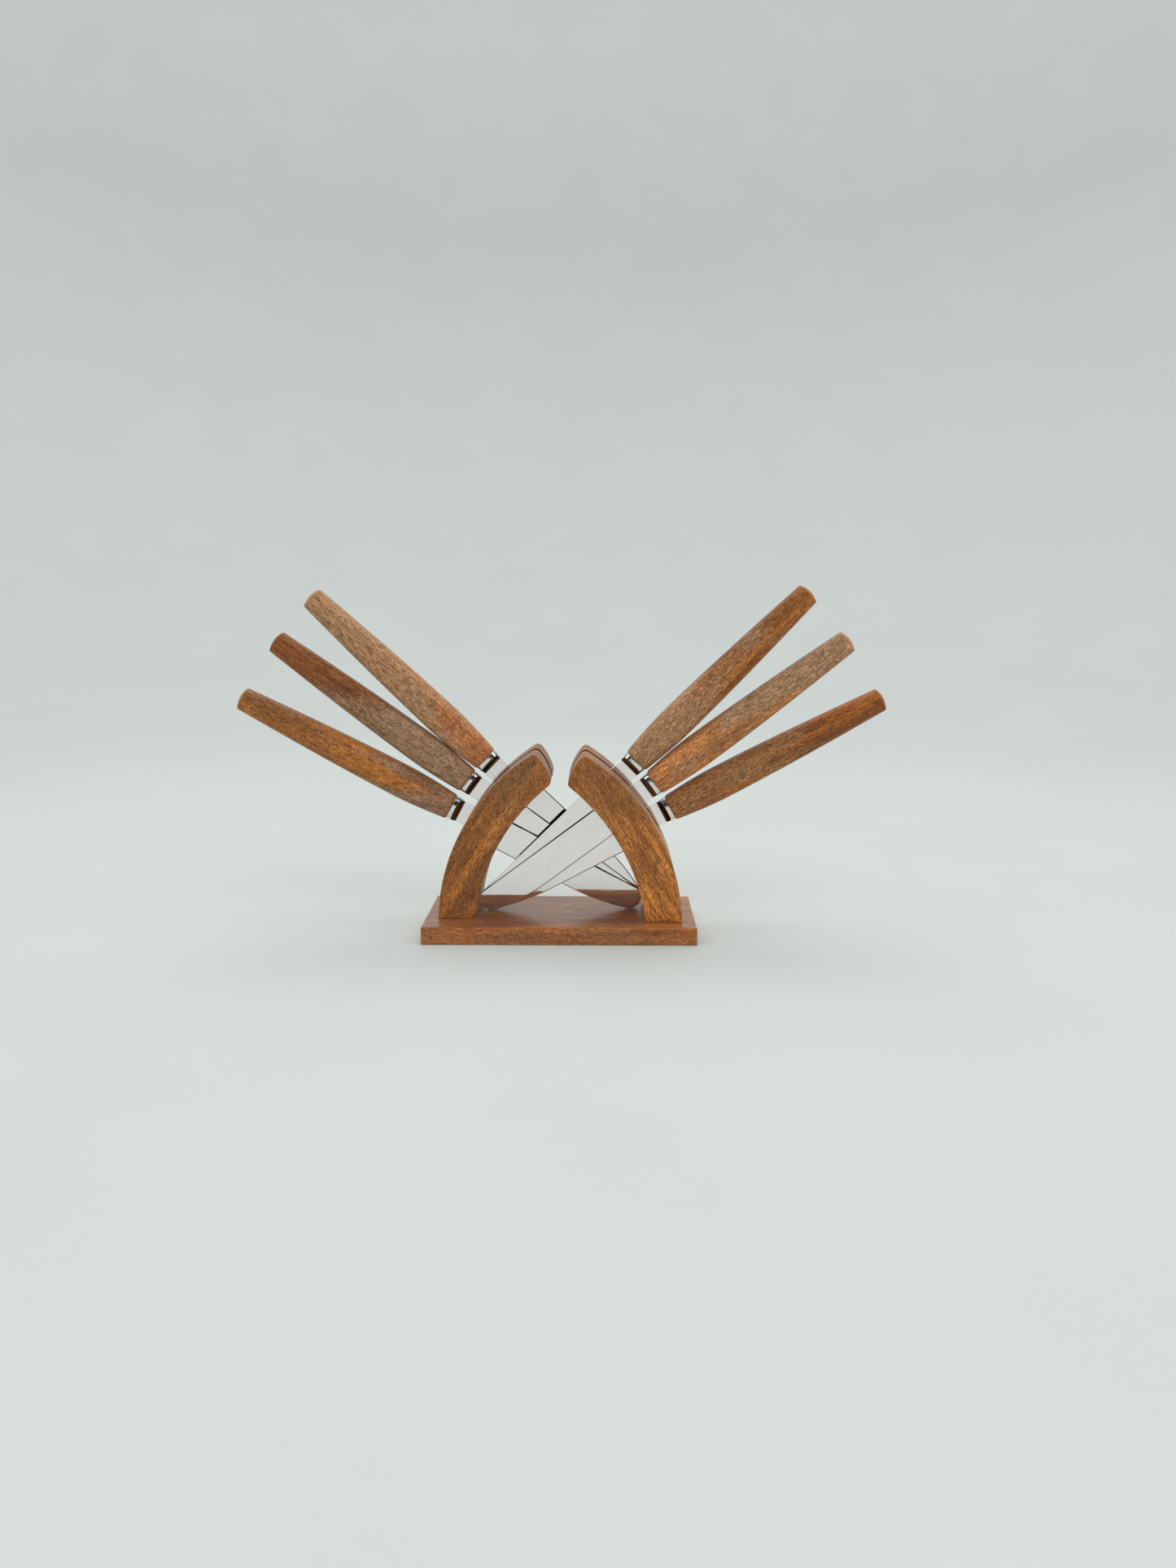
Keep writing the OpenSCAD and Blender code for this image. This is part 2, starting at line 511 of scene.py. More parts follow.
class Timber:
    """The node group for fine-pored, oiled and partly greyed wood."""

    NAME = "oiled timber"

    @classmethod
    def group(cls) -> bpy.types.NodeTree:
        """The group, built on first use.

        Returns:
            The node group.
        """
        return bpy.data.node_groups.get(cls.NAME) or cls._build()

    @classmethod
    def _build(cls) -> bpy.types.NodeTree:
        """Lays out the group.

        The grain vector runs along the fibres in X. Long streaks set the tone, short thin dashes
        are the pores, and broad patches broken up by the fibres are greyed. The Shade input paints
        shade: it pulls the colour towards near black, for the inside of the saw kerf.

        Returns:
            The finished group.
        """
        tree, g = new_group(
            cls.NAME,
            {"Grain": "Vector", "Light": "Color", "Deep": "Color", "Grey": "Color",
             "Greying": "Float", "Pores": "Float", "Wear": "Float", "Shade": "Float",
             "Age": "Float", "Tone": "Float"},
            {"Color": "Color", "Roughness": "Float", "Height": "Float"},
        )
        given, out = tree.nodes["Group Input"].outputs, tree.nodes["Group Output"].inputs
        grain = given["Grain"]
        swirl = {"Vector": g.stretch(grain, (45, 90, 90)), "Scale": 1.0, "Detail": 1.0}
        drift = g.add("ShaderNodeTexNoise", swirl)
        sway = g.stretch(drift.outputs["Color"], (0.0, 0.0012, 0.0012))
        bent = g.add("ShaderNodeVectorMath", {0: grain, 1: sway}, operation="ADD").outputs[0]
        streak = g.noise(g.stretch(bent, (16, 300, 300)), 3.0, 0.6)
        patch = g.noise(g.stretch(bent, (22, 95, 95)), 2.0, 0.5)
        fibre = g.noise(g.stretch(bent, (700, 3600, 3600)), 3.0, 0.7)
        fine = g.noise(g.stretch(bent, (260, 1700, 1700)), 2.0, 0.6)
        dash = g.noise(g.stretch(bent, (900, 4200, 4200)), 1.0, 0.4)
        cloud = g.noise(g.stretch(bent, (20, 65, 65)), 2.0, 0.5)
        tone = g.math("ADD", g.math("MULTIPLY", streak, 0.6), g.math("MULTIPLY", patch, 0.4))
        tone = g.math("ADD", tone, g.math("MULTIPLY", given["Tone"], 0.15))
        body = g.mix(g.span(tone, 0.38, 0.64), given["Deep"], given["Light"])
        broken = g.math("ADD", cloud, g.math("MULTIPLY", g.math("SUBTRACT", fibre, 0.5), 0.3))
        broken = g.math("ADD", broken, g.math("MULTIPLY", given["Age"], 0.2))
        greyed = g.math("MULTIPLY", g.span(broken, 0.42, 0.62), given["Greying"], clamp=True)
        body = g.mix(greyed, body, given["Grey"])
        thin = g.mix(g.span(fibre, 0.3, 0.7), (0.50, 0.44, 0.38), (1.46, 1.50, 1.54))
        body = g.mix(1.0, body, thin, "MULTIPLY")
        broad = g.mix(g.span(fine, 0.3, 0.7), (0.66, 0.62, 0.58), (1.34, 1.38, 1.42))
        body = g.mix(1.0, body, broad, "MULTIPLY")
        pores = g.math("MULTIPLY", g.span(dash, 0.55, 0.66), given["Pores"], clamp=True)
        body = g.mix(g.math("MULTIPLY", pores, 0.6), body, (0.05, 0.02, 0.008))
        body = g.mix(g.math("MULTIPLY", given["Wear"], 0.6), body, given["Light"])
        # Painted shade: Shade pulls the colour towards near black, standing in for the shadow inside the saw
        # kerf.
        body = g.mix(g.math("MULTIPLY", given["Shade"], 0.85), body, (0.012, 0.007, 0.004))
        g.tree.links.new(body, out["Color"])
        rough = g.math("ADD", g.span(fibre, 0.3, 0.7, 0.36, 0.46), g.math("MULTIPLY", greyed, 0.1))
        g.tree.links.new(g.math("ADD", rough, g.math("MULTIPLY", pores, 0.25)), out["Roughness"])
        relief = g.math("SUBTRACT", g.math("MULTIPLY", fibre, 0.5), g.math("MULTIPLY", pores, 0.6))
        g.tree.links.new(relief, out["Height"])
        return tree


class Polish:
    """The node group for polished steel: fine hairlines, wipe marks and faint waviness."""

    NAME = "polished steel"

    @classmethod
    def group(cls) -> bpy.types.NodeTree:
        """The group, built on first use.

        Returns:
            The node group.
        """
        return bpy.data.node_groups.get(cls.NAME) or cls._build()

    @classmethod
    def _build(cls) -> bpy.types.NodeTree:
        """Lays out the group, whose grain vector runs along the knife in X. Its Shade input paints a dark
        reflection by pulling the colour towards dark brown.

        Returns:
            The finished group.
        """
        tree, g = new_group(
            cls.NAME,
            {"Grain": "Vector", "Tint": "Color", "Smooth": "Float", "Dull": "Float", "Shade": "Float"},
            {"Color": "Color", "Roughness": "Float", "Height": "Float"},
        )
        given, out = tree.nodes["Group Input"].outputs, tree.nodes["Group Output"].inputs
        grain = given["Grain"]
        hair = g.noise(g.stretch(grain, (260, 260, 9000)), 3.0, 0.6)
        wipe = g.noise(g.stretch(grain, (90, 90, 160)), 3.0, 0.55, 0.6)
        wave = g.noise(g.stretch(grain, (55, 55, 120)), 1.0, 0.4)
        marks = g.math("MULTIPLY", g.span(wipe, 0.48, 0.72), given["Dull"])
        lines = g.math("MULTIPLY", g.span(hair, 0.62, 0.8), g.math("MULTIPLY", given["Dull"], 0.7))
        rough = g.math("ADD", given["Smooth"], g.math("ADD", marks, lines))
        g.tree.links.new(rough, out["Roughness"])
        shade = g.mix(g.span(wipe, 0.35, 0.75), given["Tint"], g.mix(0.10, given["Tint"], (0.45, 0.44, 0.42)))
        # Painted reflection: Shade pulls the steel towards dark brown, standing in for the dark surroundings
        # mirrored in the bolster's ground hollows.
        shade = g.mix(given["Shade"], shade, (0.055, 0.036, 0.028))
        g.tree.links.new(shade, out["Color"])
        g.tree.links.new(g.math("ADD", wave, g.math("MULTIPLY", hair, 0.004)), out["Height"])
        return tree


def bare_material(name: str) -> tuple[bpy.types.Material, Graph, bpy.types.Node]:
    """A material with only a Principled BSDF and an output.

    Args:
        name: The material's name.

    Returns:
        The material, a graph for its tree, and its shader node.
    """
    material = bpy.data.materials.new(name)
    material.use_nodes = True
    return material, Graph(material.node_tree), material.node_tree.nodes["Principled BSDF"]


@dataclass(frozen=True)
class WoodFinish:
    """One piece of oiled wood, by its display colours and how far it has greyed."""

    name: str
    light: tuple[int, int, int]
    deep: tuple[int, int, int]
    grey: tuple[int, int, int]
    greying: float
    pores: float = 1.0
    relief: float = 0.00006
    gloss: float = 0.06
    shine: float = 0.28

    def material(self) -> bpy.types.Material:
        """The finish as a material that reads the attributes grain, wear, age, tone and shade, where shade is
        painted shade.

        Returns:
            The new material.
        """
        material, g, shader = bare_material(self.name)
        grain = g.add("ShaderNodeAttribute", attribute_name="grain").outputs["Vector"]
        wood = g.add("ShaderNodeGroup", node_tree=Timber.group())
        for label, colour in (("Light", self.light), ("Deep", self.deep), ("Grey", self.grey)):
            wood.inputs[label].default_value = (*linear(*colour), 1.0)
        wood.inputs["Greying"].default_value = self.greying
        wood.inputs["Pores"].default_value = self.pores
        g.tree.links.new(grain, wood.inputs["Grain"])
        # shade is painted shade, set on the faces inside the uprights' saw kerf.
        for label in ("Wear", "Shade", "Age", "Tone"):
            value = g.add("ShaderNodeAttribute", attribute_name=label.lower()).outputs["Fac"]
            g.tree.links.new(value, wood.inputs[label])
        relief = {"Height": wood.outputs["Height"], "Distance": self.relief, "Strength": 0.7}
        bump = g.add("ShaderNodeBump", relief)
        g.tree.links.new(wood.outputs["Color"], shader.inputs["Base Color"])
        g.tree.links.new(wood.outputs["Roughness"], shader.inputs["Roughness"])
        g.tree.links.new(bump.outputs[0], shader.inputs["Normal"])
        shader.inputs["IOR"].default_value = 1.47
        shader.inputs["Specular IOR Level"].default_value = self.shine
        shader.inputs["Coat Weight"].default_value = self.gloss
        shader.inputs["Coat Roughness"].default_value = 0.25
        shader.inputs["Sheen Weight"].default_value = 0.15
        shader.inputs["Sheen Roughness"].default_value = 0.35
        shader.inputs["Sheen Tint"].default_value = (1.0, 0.95, 0.93, 1.0)
        return material


@dataclass(frozen=True)
class SteelFinish:
    """Polished or plated metal."""

    name: str
    tint: tuple[int, int, int]
    smooth: float
    dull: float
    waviness: float
    uses_grain: bool = True

    def material(self) -> bpy.types.Material:
        """The finish as a material that reads the attribute grain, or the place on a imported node.

        Returns:
            The new material.
        """
        material, g, shader = bare_material(self.name)
        if self.uses_grain:
            grain = g.add("ShaderNodeAttribute", attribute_name="grain").outputs["Vector"]
        else:
            grain = g.add("ShaderNodeTexCoord").outputs["Object"]
        steel = g.add("ShaderNodeGroup", node_tree=Polish.group())
        g.tree.links.new(grain, steel.inputs["Grain"])
        steel.inputs["Tint"].default_value = (*linear(*self.tint), 1.0)
        steel.inputs["Smooth"].default_value = self.smooth
        steel.inputs["Dull"].default_value = self.dull
        # Painted reflection: the shade attribute darkens the steel in the bolster's ground hollows.
        if self.uses_grain:
            shade = g.add("ShaderNodeAttribute", attribute_name="shade").outputs["Fac"]
            g.tree.links.new(shade, steel.inputs["Shade"])
        bump = g.add("ShaderNodeBump", {"Height": steel.outputs["Height"], "Distance": self.waviness})
        g.tree.links.new(steel.outputs["Color"], shader.inputs["Base Color"])
        g.tree.links.new(steel.outputs["Roughness"], shader.inputs["Roughness"])
        g.tree.links.new(bump.outputs[0], shader.inputs["Normal"])
        shader.inputs["Metallic"].default_value = 1.0
        return material


BOARD_WOOD = WoodFinish("board wood", (193, 107, 31), (137, 72, 18), (160, 112, 66), 0.35, gloss=0.9)
UPRIGHT_WOOD = {
    Side.LEFT: WoodFinish("left upright wood", (195, 120, 51), (139, 86, 42), (154, 117, 82), 0.3),
    Side.RIGHT: WoodFinish("right upright wood", (224, 143, 65), (159, 98, 47), (164, 122, 82), 0.25),
}
UPRIGHT_DARKENING = {Side.LEFT: 0.5, Side.RIGHT: 1.5}
HANDLE_WOOD = {
    (Side.LEFT, Level.TOP): WoodFinish(
        "left top handle wood", (231, 147, 84), (187, 119, 70), (182, 139, 102), 0.9,
    ),
    (Side.LEFT, Level.MIDDLE): WoodFinish(
        "left middle handle wood", (160, 94, 41), (110, 64, 35), (168, 131, 100), 1.0,
    ),
    (Side.LEFT, Level.BOTTOM): WoodFinish(
        "left bottom handle wood", (197, 122, 49), (144, 91, 49), (162, 133, 111), 0.6,
    ),
    (Side.RIGHT, Level.TOP): WoodFinish(
        "right top handle wood", (184, 112, 49), (138, 84, 40), (184, 143, 106), 0.8,
    ),
    (Side.RIGHT, Level.MIDDLE): WoodFinish(
        "right middle handle wood", (215, 141, 81), (167, 110, 65), (176, 137, 104), 0.9,
    ),
    (Side.RIGHT, Level.BOTTOM): WoodFinish(
        "right bottom handle wood", (175, 101, 38), (128, 73, 31), (177, 133, 88), 0.6,
    ),
}
HANDLE_AGE = {
    (Side.LEFT, Level.TOP): (-0.2, 0.5),
    (Side.LEFT, Level.MIDDLE): (0.9, -1.0),
    (Side.LEFT, Level.BOTTOM): (0.7, -0.7),
    (Side.RIGHT, Level.TOP): (0.9, -0.9),
    (Side.RIGHT, Level.MIDDLE): (-0.4, 0.9),
    (Side.RIGHT, Level.BOTTOM): (0.6, -0.9),
}
BLADE_STEEL = SteelFinish("blade steel", (246, 241, 239), 0.045, 0.05, 0.00002)
BOLSTER_STEEL = SteelFinish("bolster steel", (232, 231, 228), 0.07, 0.06, 0.00001)
SCREW_ZINC = SteelFinish("screw zinc", (168, 164, 152), 0.32, 0.3, 0.00004, uses_grain=False)


# ---------------------------------------------------------------- woodwork


def worn_edge(distance: Array, reach: float) -> Array:
    """How worn a point is, from 1 on an edge down to 0 at some reach from it.

    Args:
        distance: Distances from the edge.
        reach: How far the wear reaches.

    Returns:
        The wear at each distance.
    """
    return np.clip(1.0 - distance / reach, 0.0, 1.0) ** 2


def coons(foot: Array, end: Array, inner: Array, outer: Array) -> Array:
    """A grid of points stretched over four joined edges.

    Formula: the blend between inner and outer, plus the blend between foot and end, less the
    blend of the four corners.

    Args:
        foot: Edge from inner's first point to outer's first point.
        end: Edge from inner's last point to outer's last point.
        inner: Edge from foot's first point to end's first point.
        outer: Edge from foot's last point to end's last point.

    Returns:
        Points of shape (points of inner, points of foot, 2).
    """
    v = np.linspace(0.0, 1.0, len(inner))[:, None, None]
    u = np.linspace(0.0, 1.0, len(foot))[None, :, None]
    along = (1 - u) * inner[:, None] + u * outer[:, None]
    over = (1 - v) * foot[None] + v * end[None]
    low = (1 - u) * inner[0] + u * outer[0]
    high = (1 - u) * inner[-1] + u * outer[-1]
    return along + over - ((1 - v) * low + v * high)


@dataclass
class Plank:
    """A piece sawn to an outline of four edges and eased all round its two faces."""

    foot: Array
    end: Array
    inner: Array
    outer: Array
    thickness: float
    ease_radius: float
    seed: int

    def _ring(self) -> Array:
        """The outline as one closed ring: foot, outer, end and inner in turn.

        Returns:
            The ring's points, one row each.
        """
        return np.concatenate([self.foot[:-1], self.outer[:-1], self.end[::-1][:-1], self.inner[::-1][:-1]])

    def _inward(self, ring: Array) -> Array:
        """Mitred inward direction at each point of the ring, for a shift of one.

        Args:
            ring: The closed ring.

        Returns:
            One direction for each point.
        """
        ahead = np.roll(ring, -1, 0) - ring
        ahead /= np.linalg.norm(ahead, axis=1, keepdims=True)
        normal = np.stack([-ahead[:, 1], ahead[:, 0]], -1)
        area = np.sum(ring[:, 0] * np.roll(ring[:, 1], -1) - np.roll(ring[:, 0], -1) * ring[:, 1])
        normal *= np.sign(area)
        mitre = normal + np.roll(normal, 1, 0)
        return 2.0 * mitre / np.sum(mitre * mitre, axis=1, keepdims=True)

    def shell(self, turns: int = 5) -> Shell:
        """The plank's surface, in outline axes with the thickness as the third part.

        Formula: each ring is the outline shifted inwards by r(1 - cos a) and out of the middle by
        half the thickness less r(1 - sin a), where r wanders slightly along the edge, and each
        face is stretched over its last ring.

        Args:
            turns: Steps in each eased edge.

        Returns:
            The closed shell.
        """
        ring = self._ring()
        inward = self._inward(ring)
        run = np.linspace(0.0, 1.0, len(ring), endpoint=False)
        angle = np.radians(np.linspace(0.0, 90.0, turns + 1))
        shell = Shell()
        half = self.thickness / 2.0
        halves = []
        for face in (-1.0, 1.0):
            radius = self.ease_radius * (1.0 + 0.2 * ripple(run * 6.0, self.seed + int(face) + 1))
            shift = radius[None] * (1.0 - np.cos(angle))[:, None]
            depth = face * (half - radius[None] * (1.0 - np.sin(angle))[:, None])
            flat = ring[None] + inward[None] * shift[..., None]
            halves.append(np.concatenate([flat, depth[..., None]], -1))
            shell.add_patch(self._face(flat[-1], face * half))
        middle = np.linspace(-0.96, 0.96, 5)[:, None, None] * (half - self.ease_radius * 1.6)
        around = np.broadcast_to(ring[None], (5, *ring.shape))
        middle = np.concatenate([around, np.broadcast_to(middle, (5, len(ring), 1))], -1)
        shell.add_tube(np.concatenate([halves[0][::-1], middle, halves[1]]), start=False, end=False)
        return shell

    def _face(self, ring: Array, depth: float) -> Array:
        """A flat face stretched over the four edges of a closed ring.

        Args:
            ring: The closed ring.
            depth: Place of the face across the plank.

        Returns:
            The face as a grid of points.
        """
        a = len(self.foot) - 1
        b = a + len(self.outer) - 1
        c = b + len(self.end) - 1
        closed = np.concatenate([ring, ring[:1]])
        grid = coons(closed[: a + 1], closed[b : c + 1][::-1], closed[c:][::-1], closed[a : b + 1])
        return np.concatenate([grid, np.full((*grid.shape[:2], 1), depth)], -1)


@dataclass
class BaseBoard:
    """The flat board that everything stands on, with countersunk holes underneath."""

    node: str = "base_board"
    ease_radius: float = 0.55 * MM
    wear_reach: float = 1.1 * MM
    hole_r: float = 2.0 * MM
    sink_r: float = 3.9 * MM
    sink_depth: float = 2.1 * MM

    def _holes(self) -> list[bpy.types.Object]:
        """A countersunk drill shape for each packed screw.

        Returns:
            The drill shapes.
        """
        drills = []
        for side in Side:
            low, high = map(np.array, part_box(f"{side.word}_screws"))
            radius = (high[0] - low[0]) / 2.0
            for y in (low[1] + radius, high[1] - radius):
                mouth = [(-1.0 * MM, self.sink_r), (0.0, self.sink_r)]
                profile = mouth + [(self.sink_depth, self.hole_r), (9.0 * MM, self.hole_r)]
                angle = np.linspace(0.0, 2.0 * math.pi, 48, endpoint=False)
                height, reach = np.array(profile).T[:, :, None]
                rings = np.stack([
                    (low[0] + high[0]) / 2.0 + reach * np.cos(angle),
                    y + reach * np.sin(angle),
                    np.broadcast_to(height, (len(profile), 48)),
                ], -1)
                drill = Shell()
                drill.add_tube(rings)
                drills.append(drill.build("drill"))
        return drills

    def build(self) -> bpy.types.Object:
        """The board, from its packed box.

        Returns:
            The finished piece.
        """
        low, high = map(np.array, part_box(self.node))
        corners = [(low[0], low[1]), (high[0], low[1]), (low[0], high[1]), (high[0], high[1])]
        a, b, c, d = map(np.array, corners)
        plank = Plank(
            np.linspace(a, b, 81), np.linspace(c, d, 81), np.linspace(a, c, 41), np.linspace(b, d, 41),
            high[2] - low[2], self.ease_radius, seed=3,
        )
        shell = plank.shell()
        shell.points = [p + np.array([0.0, 0.0, (low[2] + high[2]) / 2.0]) for p in shell.points]
        board = shell.build(self.node + "_wood", merge=0.002 * MM)
        carve(board, self._holes())
        crease(board, 40.0)
        self._mark(board, low, high)
        board.data.materials.clear()
        board.data.materials.append(BOARD_WOOD.material())
        return board

    def _mark(self, board: bpy.types.Object, low: Array, high: Array) -> None:
        """Stores the grain along X, and the wear where two of the six sides meet.

        Args:
            board: The finished board.
            low: Lowest corner of its box.
            high: Highest corner of its box.
        """
        points = vertices(board)
        mark(board, "grain", points + np.array([0.31, 0.17, 0.05]))
        gaps = np.sort(np.concatenate([points - low, high - points], axis=1), axis=1)
        patchy = 0.6 + 0.4 * ripple(points[:, 0] * 40.0 + points[:, 1] * 25.0, 11)
        mark(board, "wear", worn_edge(gaps[:, 1], self.wear_reach) * np.clip(patchy, 0.0, 1.0))


@dataclass
class Upright:
    """A curved upright with the saw kerf that holds three blades.

    The fields repeat the design's sizes for the left-hand upright, measured from the middle of
    the board's top. The right-hand one is its mirror image.
    """

    side: Side
    outer_r: float = 91.0 * MM
    outer_drop: float = 3.2 * MM
    inner_r: float = 92.0 * MM
    inner_drop: float = 11.5 * MM
    end_r: float = 27.0 * MM
    foot_w: float = 16.2 * MM
    apex_x: float = -10.8 * MM
    corner_x: float = -3.6 * MM
    kerf_w: float = 4.8 * MM
    dark_from: float = 40.0 * MM
    dark_over: float = 18.0 * MM
    kerf_point: tuple[float, float] = (31.7 * MM, 5.4 * MM)
    kerf_slope: float = 27.9
    kerf_drop: float = 9.6 * MM
    ease_radius: float = 0.4 * MM
    apex_round: float = 2.4 * MM
    corner_round: float = 1.6 * MM
    wear_reach: float = 1.3 * MM
    grain_slope: float = 58.0

    @property
    def node(self) -> str:
        """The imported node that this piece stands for.

        Returns:
            The node's name.
        """
        return f"{self.side.word}_upright"

    def _soften(self, line: Array, corner: int, reach: float) -> Array:
        """Rounds one corner of a polyline off.

        Formula: points within reach of the corner move on to the parabola that touches both legs.

        Args:
            line: The polyline.
            corner: Number of the corner point.
            reach: Distance from the corner at which the rounding starts.

        Returns:
            The rounded polyline, with its points respaced.
        """
        run = np.r_[0.0, np.cumsum(np.linalg.norm(np.diff(line, axis=0), axis=1))]
        start, end = run[corner] - reach, run[corner] + reach
        first, last = (np.array([np.interp(r, run, line[:, k]) for k in (0, 1)]) for r in (start, end))
        t = np.linspace(0.0, 1.0, 13)[:, None]
        curve = (1 - t) ** 2 * first + 2 * t * (1 - t) * line[corner] + t**2 * last
        return np.concatenate([line[run < start], curve, line[run > end]])

    def _edges(self, low: Array) -> tuple[Array, Array, Array, Array]:
        """The foot, end, inner and outer edges of the left-hand outline, in X and height.

        Args:
            low: Lowest corner of the left-hand upright's box, whose X is the foot's outer corner.

        Returns:
            The four edges for a plank.
        """
        outer_x = low[0] + math.sqrt(self.outer_r**2 - self.outer_drop**2)
        inner_x = low[0] + self.foot_w + math.sqrt(self.inner_r**2 - self.inner_drop**2)
        start = 180.0 - math.degrees(math.asin(self.outer_drop / self.outer_r))
        stop = math.degrees(math.acos((self.apex_x - outer_x) / self.outer_r))
        outer = arc((outer_x, -self.outer_drop), self.outer_r, start, stop, 400)
        start = 180.0 - math.degrees(math.asin(self.inner_drop / self.inner_r))
        stop = math.degrees(math.acos((self.corner_x - inner_x) / self.inner_r))
        inner = arc((inner_x, -self.inner_drop), self.inner_r, start, stop, 400)
        apex, corner = outer[-1], inner[-1]
        chord = apex - corner
        middle = (apex + corner) / 2.0
        bulge = unit(np.array([chord[1], -chord[0]]))
        centre = middle - bulge * math.sqrt(self.end_r**2 - chord @ chord / 4.0)
        first = math.degrees(math.atan2(*(corner - centre)[::-1]))
        last = math.degrees(math.atan2(*(apex - centre)[::-1]))
        end = arc(centre, self.end_r, first, last, 80)
        whole = np.concatenate([inner, end[1:], outer[::-1][1:]])
        tip = len(inner) + len(end) - 2
        whole = self._soften(whole, tip, self.apex_round)
        near = int(np.argmin(np.linalg.norm(whole - corner, axis=1)))
        whole = self._soften(whole, near, self.corner_round)
        split_a = int(np.argmin(np.linalg.norm(whole - corner, axis=1)))
        split_b = int(np.argmin(np.linalg.norm(whole - apex, axis=1)))
        t = np.linspace(0.0, 1.0, 121)
        return (
            np.linspace(inner[0], outer[0], 29),
            resample(whole[split_a : split_b + 1], np.linspace(0.0, 1.0, 29)),
            resample(whole[: split_a + 1], 1.0 - (1.0 - t) ** 1.25),
            resample(whole[split_b:][::-1], 1.0 - (1.0 - t) ** 1.25),
        )

    def _kerf(self, base: float, y: float) -> bpy.types.Object:
        """The slab of space that the saw has opened, as a solid to cut away.

        Args:
            base: Height of the upright's foot.
            y: Middle of the upright across the stand.

        Returns:
            The solid.
        """
        slope = math.radians(self.kerf_slope)
        along = np.array([math.cos(slope), 0.0, -math.sin(slope)])
        up = np.array([math.sin(slope), 0.0, math.cos(slope)])
        point = np.array([self.kerf_point[0], y, base + self.kerf_point[1]]) - up * self.kerf_drop
        reach = 150.0 * MM
        corner = np.array([(-1, -0.5), (-1, 0.5), (0, 0.5), (0, -0.5)])
        section = np.stack([corner[:, 0] * reach, corner[:, 1] * self.kerf_w], -1)
        rings = np.stack([
            point + section[:, :1] * along + section[:, 1:] * np.array([0.0, 1.0, 0.0]) + up * lift
            for lift in (0.0, reach)
        ])
        slab = Shell()
        slab.add_tube(rings)
        return slab.build("saw_cut")

    def build(self) -> bpy.types.Object:
        """The upright, from its outline and its packed box.

        Returns:
            The finished piece.
        """
        low, high = map(np.array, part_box(self.node))
        middle = (low[1] + high[1]) / 2.0
        left_low = low if self.side is Side.LEFT else np.array([-high[0], low[1], low[2]])
        foot, end, inner, outer = self._edges(left_low)
        plank = Plank(foot, end, inner, outer, high[1] - low[1], self.ease_radius, seed=20 + self.side.value)
        shell = plank.shell()
        shell.points = [np.stack([p[:, 0], p[:, 2] + middle, p[:, 1] + low[2]], -1) for p in shell.points]
        upright = shell.build(self.node + "_wood", merge=0.002 * MM)
        carve(upright, [self._kerf(low[2], middle)])
        if self.side is Side.RIGHT:
            self._mirror(upright)
        crease(upright, 36.0)
        self._mark(upright, low, high, np.concatenate([inner, end, outer[::-1]]))
        upright.data.materials.clear()
        upright.data.materials.append(UPRIGHT_WOOD[self.side].material())
        return upright

    def _mirror(self, upright: bpy.types.Object) -> None:
        """Mirrors the piece in X and turns its faces back outwards.

        Args:
            upright: The piece.
        """
        points = vertices(upright) * np.array([-1.0, 1.0, 1.0])
        upright.data.vertices.foreach_set("co", points.astype(np.float32).ravel())
        upright.data.flip_normals()

    def _mark(self, upright: bpy.types.Object, low: Array, high: Array, outline: Array) -> None:
        """Stores the grain along the upright's chord, the wear on its long edges and kerf, and painted shade
        on the faces inside the kerf.

        Args:
            upright: The finished piece.
            low: Lowest corner of its box.
            high: Highest corner of its box.
            outline: The side view's points.
        """
        points = vertices(upright)
        slope = math.radians(self.grain_slope)
        lean = -self.side.value
        along = np.array([math.cos(slope) * lean, 0.0, math.sin(slope)])
        up = np.array([-math.sin(slope) * lean, 0.0, math.cos(slope)])
        axes = Axes(np.array([0.21 * self.side.value, 0.4, 0.1]), along, np.array([0.0, 1.0, 0.0]), up)
        mark(upright, "grain", axes.local(points))
        flat = np.stack([points[:, 0] * lean, points[:, 2] - low[2]], -1)
        to_line = np.min(np.linalg.norm(flat[:, None] - outline[None, ::3], axis=2), axis=1)
        to_face = np.minimum(points[:, 1] - low[1], high[1] - points[:, 1])
        to_kerf = np.abs(np.abs(points[:, 1] - (low[1] + high[1]) / 2.0) - self.kerf_w / 2.0)
        distance = np.hypot(to_line, np.minimum(to_face, to_kerf * 1.6))
        # Painted shade: faces inside the saw kerf are marked so that the material darkens them, standing in
        # for the shadow deep in the cut.
        centres = np.empty(len(upright.data.polygons) * 3, np.float32)
        upright.data.polygons.foreach_get("center", centres)
        inside = np.abs(centres[1::3] - (low[1] + high[1]) / 2.0) < self.kerf_w / 2.0 + 0.01 * MM
        mark(upright, "shade", inside.astype(float), "FACE")
        rise = ease((points[:, 2] - low[2] - self.dark_from) / self.dark_over)
        mark(upright, "tone", 0.2 - UPRIGHT_DARKENING[self.side] * rise)
        patchy = 0.55 + 0.45 * ripple(points[:, 2] * 45.0 + points[:, 1] * 20.0, 12 + self.side.value)
        mark(upright, "wear", worn_edge(distance, self.wear_reach) * np.clip(patchy, 0.0, 1.0))


# ---------------------------------------------------------------- knives


